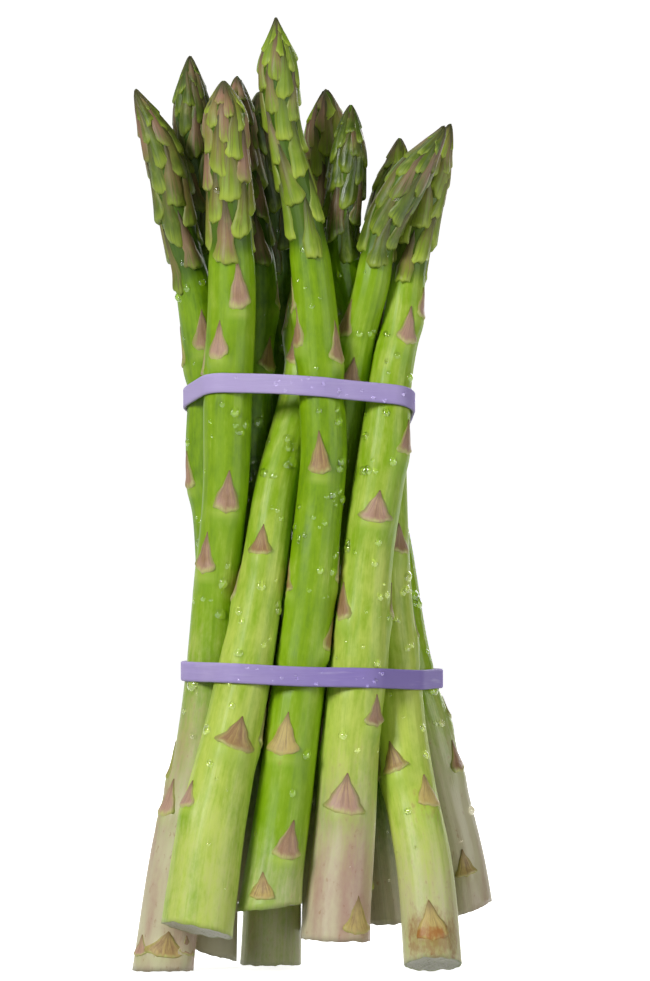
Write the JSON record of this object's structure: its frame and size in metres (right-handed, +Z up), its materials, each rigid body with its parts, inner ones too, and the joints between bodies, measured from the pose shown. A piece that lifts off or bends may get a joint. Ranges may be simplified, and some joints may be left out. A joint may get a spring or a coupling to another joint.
{
  "type": "bundle of asparagus",
  "caption": "Bundle of thick green asparagus spears with scaly heads and cut feet, held upright by an upper and a lower rubber band.",
  "frame": {"origin": "middle of the bundle's footprint, on the surface that its cut feet stand on", "axes": "+Z up along the spears to their heads, -Y towards the viewer of the bundle's front, +X to that viewer's right"},
  "size_m": [0.0878, 0.0558, 0.2323],
  "materials": {
    "spear_bright": "waxy, satin, wet in places",
    "spear_dark": "waxy, satin",
    "band_pale": "matt lavender",
    "band_deep": "matt lavender"
  },
  "bodies": {
    "root": {"spear_tall_front": "spear_bright", "spear_left_front": "spear_bright", "spear_left_thick": "spear_bright", "spear_right_front": "spear_bright", "spear_right_outer": "spear_bright", "spear_right_back": "spear_dark", "spear_left_leaning": "spear_dark", "spear_left_back": "spear_dark", "spear_left_inner": "spear_dark", "spear_middle_inner": "spear_dark", "spear_right_leaning": "spear_dark", "upper_band": "band_pale", "lower_band": "band_deep"}
  },
  "joints": []
}
